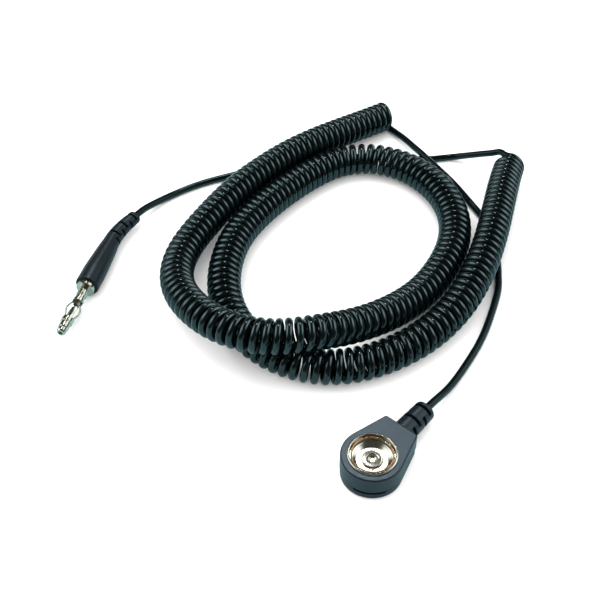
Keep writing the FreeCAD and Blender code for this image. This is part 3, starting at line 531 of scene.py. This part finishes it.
def wire_at(x):
    """Wire centre, direction and outward direction at a fractional station."""
    i = max(0, min(int(math.floor(x)), len(COIL) - 2))
    f = x - i
    a, b = COIL[i], COIL[i + 1]
    s = a[0] * (1 - f) + b[0] * f
    c = CENTRE.at(s)
    T = unit(add(mul(a[2], 1 - f), mul(b[2], f)))
    # turn the outward direction through a fraction of one station
    ang = -2 * math.pi / TURN_ROWS * f
    rad0 = a[3]
    rad = add(mul(rad0, math.cos(ang)), mul(cross(a[2], rad0), math.sin(ang)))
    rad = unit(sub(rad, mul(T, dot(rad, T))))
    tg = cross(T, rad)
    w = unit(sub(mul(T, lerp(PITCH, s) / (2 * math.pi)), mul(tg, COIL_R)))
    return s, add(c, mul(rad, COIL_R)), w, rad, T


def coil_skin(name, i0, i1, r=CABLE_D / 2, mat="cable_jacket"):
    rings = []
    n = int((i1 - i0) * STEPS / TURN_ROWS)
    for k in range(n + 1):
        x = i0 + (i1 - i0) * k / float(n)
        s, p, w, rad, T = wire_at(x)
        n2 = cross(w, rad)
        rings.append(circle_ring(p, rad, n2, r, n=RV))
    v, f = ring_mesh(rings)
    return mesh_object(name, v, f, MAT[mat])


I_FREE = min(range(I_FIRST, I_LAST), key=lambda i: abs(COIL[i][0] - FREE_END_S))
I_STRETCH = min(range(I_FIRST, I_LAST), key=lambda i: abs(COIL[i][0] - STRETCH_END_S))
skin_free = coil_skin("coil_skin_free_end", I_FIRST, I_FREE)
skin_stretch = coil_skin("coil_skin_stretch_zone", I_FREE, I_STRETCH)
skin_body = coil_skin("coil_skin_body", I_STRETCH, I_LAST)
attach(skin_free, "coil_free_end")
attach(skin_body, "coil")


def m3(p):
    return (p[0] * MM, p[1] * MM, p[2] * MM)


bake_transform(skin_stretch)
core_stretch = coil_skin("coil_core_stretch_zone", I_FREE + 1, I_STRETCH - 1, CORE_R, "tinsel_copper")
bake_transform(core_stretch)
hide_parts("coil_conductor_stretch_zone")
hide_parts("coil_jacket_free_end")
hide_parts("coil_jacket_stretch_zone")
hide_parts("coil_jacket_body")


# ---------------------------------------------------------------- lead skins
def joined(*names):
    """Points along several leads, run end to end."""
    pts = []
    for nm in names:
        p = PATHS[nm]
        n = int(p.length / 0.5)
        q = [p.at(p.length * k / n) for k in range(n + 1)]
        pts += q if not pts else q[1:]
    return pts


def smooth_points(pts, passes):
    for _ in range(passes):
        pts = [pts[0]] + [mul(add(add(pts[i - 1], mul(pts[i], 2)), pts[i + 1]), 0.25) for i in range(1, len(pts) - 1)] + [pts[-1]]
    return pts


def lead_skin(name, pts, r=CABLE_D / 2, n=16, closed_start=True, closed_end=True, mat="cable_jacket"):
    sp = Spline(pts[::3] + ([pts[-1]] if (len(pts) - 1) % 3 else []))
    fr = path_frames(sp, 0.0, sp.length, 0.35)[1:-1]
    rings = [circle_ring(c, B, N, r, n=n) for s, c, T, N, B in fr]
    v, f = ring_mesh(rings, closed_start, closed_end)
    return mesh_object(name, v, f, MAT[mat])


def near(pts, p, back):
    """Point of the list that lies a given distance before (negative) or after p along it."""
    i = min(range(len(pts)), key=lambda k: norm(sub(pts[k], p)))
    step = 1 if back > 0 else -1
    d = 0.0
    while 0 <= i + step < len(pts) and d < abs(back):
        d += norm(sub(pts[i + step], pts[i]))
        i += step
    return pts[i]


ph, sh_, pb, sbp = placed(PLUG_HINGE), placed(SNAP_HINGE), placed(PLUG_BEND), placed(SNAP_BEND)
plug_dir = (math.cos(math.radians(PLUG_AXIS_DEG)), math.sin(math.radians(PLUG_AXIS_DEG)), 0.0)
plug_face = placed(PLUG_FACE)
rear = add(plug_face, mul(plug_dir, -PLUG_GRIP_LEN))
lead_in = unit(sub(PATHS["plug_lead_free"].at(PATHS["plug_lead_free"].length - 3.0), pb))
lead_in = unit((lead_in[0], lead_in[1], 0.0))
boot_path = Spline([pb, add(pb, mul(lead_in, -1.5)), placed((-57.5, 32.2, PLUG_BEND[2])), placed((-59.4, 28.9, PLUG_BEND[2])),
                    placed((-60.95, 25.3, PLUG_BEND[2])), rear, add(rear, mul(plug_dir, 2.9))])
snap_c = placed(SNAP_CENTRE)
snap_dir = (math.cos(math.radians(SNAP_AXIS_DEG)), math.sin(math.radians(SNAP_AXIS_DEG)), 0.0)
BOOT_Z = SNAP_BEND[2]
front = add((snap_c[0], snap_c[1], BOOT_Z), mul(snap_dir, 10.5))
snap_path = Spline([sbp, add(mul(sbp, 0.5), mul(front, 0.5)), front])

plug_pts = smooth_points(joined("plug_lead_fixed", "plug_lead_free"), 3)
boot_in = [boot_path.at(0.5 * k) for k in range(1, 7)]
h = min(range(len(plug_pts)), key=lambda k: norm(sub(plug_pts[k], ph)))
cut = h + 34
a_pts, b_pts = plug_pts[:cut + 1], plug_pts[cut:] + boot_in
sk = lead_skin("plug_lead_skin", a_pts, closed_end=False)
m3(near(a_pts, ph, -6.0))
m3(near(a_pts, ph, 6.0))
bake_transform(sk)
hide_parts("plug_lead_fixed_jacket")
sk2 = lead_skin("plug_lead_end_skin", b_pts, closed_start=False)
m3(near(b_pts, pb, -7.0))
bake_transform(sk2)
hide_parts("plug_lead_free_jacket")

rear_pts = joined("snap_lead_rear", "snap_lead_fixed")
snap_pts = joined("snap_lead_fixed", "snap_lead_free")
r_pts = smooth_points(joined("snap_lead_rear"), 1)
sk3 = lead_skin("snap_lead_rear_skin", r_pts, closed_end=False)
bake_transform(sk3)
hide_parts("snap_lead_rear_jacket")
core_rear = lead_skin("snap_lead_rear_core", r_pts[2:-2], CORE_R, mat="tinsel_copper")
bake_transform(core_rear)
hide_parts("snap_lead_rear_conductor")
snap_pts = smooth_points(snap_pts, 3)
h = min(range(len(snap_pts)), key=lambda k: norm(sub(snap_pts[k], sh_)))
cut = h + 60
snap_in = [snap_path.at(0.5 * k) for k in range(1, 7)]
c_pts, d_pts = snap_pts[:cut + 1], snap_pts[cut:] + snap_in
sk4 = lead_skin("snap_lead_skin", c_pts, closed_start=False, closed_end=False)
m3(near(c_pts, sh_, -6.0))
m3(near(c_pts, sh_, 6.0))
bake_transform(sk4)
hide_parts("snap_lead_fixed_jacket")
sk5 = lead_skin("snap_lead_end_skin", d_pts, closed_start=False)
m3(near(d_pts, sbp, -7.0))
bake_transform(sk5)
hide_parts("snap_lead_free_jacket")

# ---------------------------------------------------------------- stage, light, camera
me = bpy.data.meshes.new("floor")
F = 6.0
me.from_pydata([(-F, -F, 0), (F, -F, 0), (F, F, 0), (-F, F, 0)], [], [(0, 1, 2, 3)])
floor = bpy.data.objects.new("floor", me)
bpy.context.scene.collection.objects.link(floor)
fm, nt, bs = new_mat("floor_paint")
tc = nt.nodes.new("ShaderNodeTexCoord")
nz = nt.nodes.new("ShaderNodeTexNoise")
nz.inputs["Scale"].default_value = 14
nt.links.new(tc.outputs["Object"], nz.inputs["Vector"])
cr = nt.nodes.new("ShaderNodeValToRGB")
cr.color_ramp.elements[0].color = (0.925, 0.92, 0.915, 1)
cr.color_ramp.elements[1].color = (0.94, 0.94, 0.935, 1)
nt.links.new(nz.outputs["Fac"], cr.inputs["Fac"])
path = nt.nodes.new("ShaderNodeLightPath")
mixc = nt.nodes.new("ShaderNodeMix")
mixc.data_type = "RGBA"
mixc.inputs[7].default_value = (0.34, 0.52, 0.55, 1)      # painted reflection: for glossy rays only, the table is coloured a darker teal-grey, which sets the tone of its reflection in the cable and metal
nt.links.new(path.outputs["Is Glossy Ray"], mixc.inputs[0])
nt.links.new(cr.outputs["Color"], mixc.inputs[6])
nt.links.new(mixc.outputs[2], bs.inputs["Base Color"])
bs.inputs["Roughness"].default_value = 0.9
bs.inputs["Specular IOR Level"].default_value = 0.05
me.materials.append(fm)


def area(name, loc, target, sx, sy, power, color=(1, 1, 1), diffuse=True, glossy=True):
    li = bpy.data.lights.new(name, "AREA")
    li.shape = "RECTANGLE"
    li.size, li.size_y = sx, sy
    li.energy = power
    li.color = color
    ob = bpy.data.objects.new(name, li)
    ob.location = loc
    ob.rotation_mode = "QUATERNION"
    ob.rotation_quaternion = (Vector(target) - Vector(loc)).to_track_quat("-Z", "Y")
    ob.visible_diffuse = diffuse
    ob.visible_glossy = glossy
    bpy.context.scene.collection.objects.link(ob)
    return ob


def light_only(ob, coll):
    """Let a light reach the objects of one collection alone."""
    ob.light_linking.receiver_collection = coll
    return ob


def soft_edges(ob, half_y, half_z):
    """Fade a panel towards its edges, so its reflection has no hard ends."""
    li = ob.data
    li.use_nodes = True
    lt = li.node_tree
    em = [nd for nd in lt.nodes if nd.type == "EMISSION"][0]
    geo = lt.nodes.new("ShaderNodeNewGeometry")
    sp = lt.nodes.new("ShaderNodeSeparateXYZ")
    lt.links.new(geo.outputs["Position"], sp.inputs[0])
    last = None
    for axis, mid, half in (("Y", ob.location[1], half_y), ("Z", ob.location[2], half_z)):
        a = lt.nodes.new("ShaderNodeMath")
        a.operation = "SUBTRACT"
        a.inputs[1].default_value = mid
        lt.links.new(sp.outputs[axis], a.inputs[0])
        b = lt.nodes.new("ShaderNodeMath")
        b.operation = "DIVIDE"
        b.inputs[1].default_value = half
        lt.links.new(a.outputs[0], b.inputs[0])
        c = lt.nodes.new("ShaderNodeMath")
        c.operation = "MULTIPLY"
        lt.links.new(b.outputs[0], c.inputs[0])
        lt.links.new(b.outputs[0], c.inputs[1])
        d = lt.nodes.new("ShaderNodeMath")
        d.operation = "SUBTRACT"
        d.use_clamp = True
        d.inputs[0].default_value = 1.0
        lt.links.new(c.outputs[0], d.inputs[1])
        if last is None:
            last = d
        else:
            e = lt.nodes.new("ShaderNodeMath")
            e.operation = "MULTIPLY"
            lt.links.new(last.outputs[0], e.inputs[0])
            lt.links.new(d.outputs[0], e.inputs[1])
            last = e
    lt.links.new(last.outputs[0], em.inputs["Strength"])


# the same soft panels, set a little stronger for the glossy cable than for the satin mouldings and the metal
LIT = {k: bpy.data.collections.new("lit_" + k) for k in ("cable", "leads", "mouldings", "metal")}
skins = {skin_free, skin_stretch, skin_body, sk, sk2, sk3, sk4, sk5}
for ob in list(bpy.context.scene.collection.all_objects):
    if ob.type == "MESH":
        mats = {sl.material.name for sl in ob.material_slots if sl.material}
        if ob in (skin_free, skin_stretch, skin_body):
            LIT["cable"].objects.link(ob)
        elif ob in skins or "cable_jacket" in mats:
            LIT["leads"].objects.link(ob)
        elif mats & {"nickel_plate", "tinned_metal", "phosphor_bronze", "tinsel_copper"}:
            LIT["metal"].objects.link(ob)
        else:
            LIT["mouldings"].objects.link(ob)
for kind, power, spark in (("cable", 13.0, 1.8), ("leads", 3.2, 0.8), ("mouldings", 7.0, 0.5), ("metal", 10.0, 4.0)):
    for side, x in (("left", -0.62), ("right", 0.62)):
        li = area("panel_%s_%s" % (side, kind), (x, 0.10, 0.50), (0, 0.05, 0), 1.10, 0.80, power, (0.92, 0.98, 1.0), diffuse=False)
        soft_edges(light_only(li, LIT[kind]), 0.55, 0.31)
    light_only(area("spark_" + kind, (0.0, 0.47, 0.82), (0, 0, 0), 0.12, 0.10, spark, diffuse=False), LIT[kind])
area("overhead", (-0.34, 0.30, 1.1), (0, 0, 0), 0.9, 0.9, 7.0, (1.0, 0.99, 0.98), glossy=False)

world = bpy.data.worlds.new("world")
bpy.context.scene.world = world
world.use_nodes = True
wt = world.node_tree
bg = wt.nodes["Background"]
bg.inputs[0].default_value = (1.0, 1.0, 1.0, 1)
bg.inputs[1].default_value = 1.75
bg2 = wt.nodes.new("ShaderNodeBackground")
tcw = wt.nodes.new("ShaderNodeTexCoord")
sep = wt.nodes.new("ShaderNodeSeparateXYZ")
wt.links.new(tcw.outputs["Generated"], sep.inputs[0])
mrw = wt.nodes.new("ShaderNodeMapRange")
mrw.inputs["From Min"].default_value = -1.0
mrw.inputs["From Max"].default_value = 1.0
wt.links.new(sep.outputs["Z"], mrw.inputs["Value"])
crw = wt.nodes.new("ShaderNodeValToRGB")
stops = [(0.0, (0.5, 0.5, 0.5)), (0.50, (0.55, 0.54, 0.50)), (0.56, (0.30, 0.27, 0.21)), (0.64, (0.045, 0.040, 0.030)),
         (0.76, (0.04, 0.036, 0.028)), (0.84, (0.065, 0.065, 0.062)), (0.90, (0.06, 0.06, 0.057)), (0.96, (0.05, 0.05, 0.045)), (1.0, (0.03, 0.03, 0.03))]
while len(crw.color_ramp.elements) < len(stops):
    crw.color_ramp.elements.new(0.5)
for el, (pos, col) in zip(sorted(crw.color_ramp.elements, key=lambda e: e.position), stops):
    el.position = pos
    el.color = col + (1,)
wt.links.new(mrw.outputs["Result"], crw.inputs["Fac"])
wt.links.new(crw.outputs["Color"], bg2.inputs[0])
bg2.inputs[1].default_value = 1.0
lp = wt.nodes.new("ShaderNodeLightPath")
mxw = wt.nodes.new("ShaderNodeMixShader")
wt.links.new(lp.outputs["Is Glossy Ray"], mxw.inputs[0])
wt.links.new(bg.outputs[0], mxw.inputs[1])
wt.links.new(bg2.outputs[0], mxw.inputs[2])
wt.links.new(mxw.outputs[0], wt.nodes["World Output"].inputs[0])

cam_data = bpy.data.cameras.new("camera")
cam = bpy.data.objects.new("camera", cam_data)
bpy.context.scene.collection.objects.link(cam)
PITCH_DOWN, CAM_H = math.radians(45.5), 0.235
look = Vector((SHIFT[0] * MM, SHIFT[1] * MM, 0.0))
cam.location = look + Vector((0, -CAM_H / math.tan(PITCH_DOWN), CAM_H))
cam.rotation_euler = (math.radians(90) - PITCH_DOWN, 0, 0)
cam_data.sensor_width = 36.0
cam_data.lens = 1048.0 / 600.0 * 36.0
cam_data.clip_start = 0.01
bpy.context.scene.camera = cam
bpy.context.scene.view_settings.view_transform = "Standard"
bpy.context.scene.view_settings.look = "None"
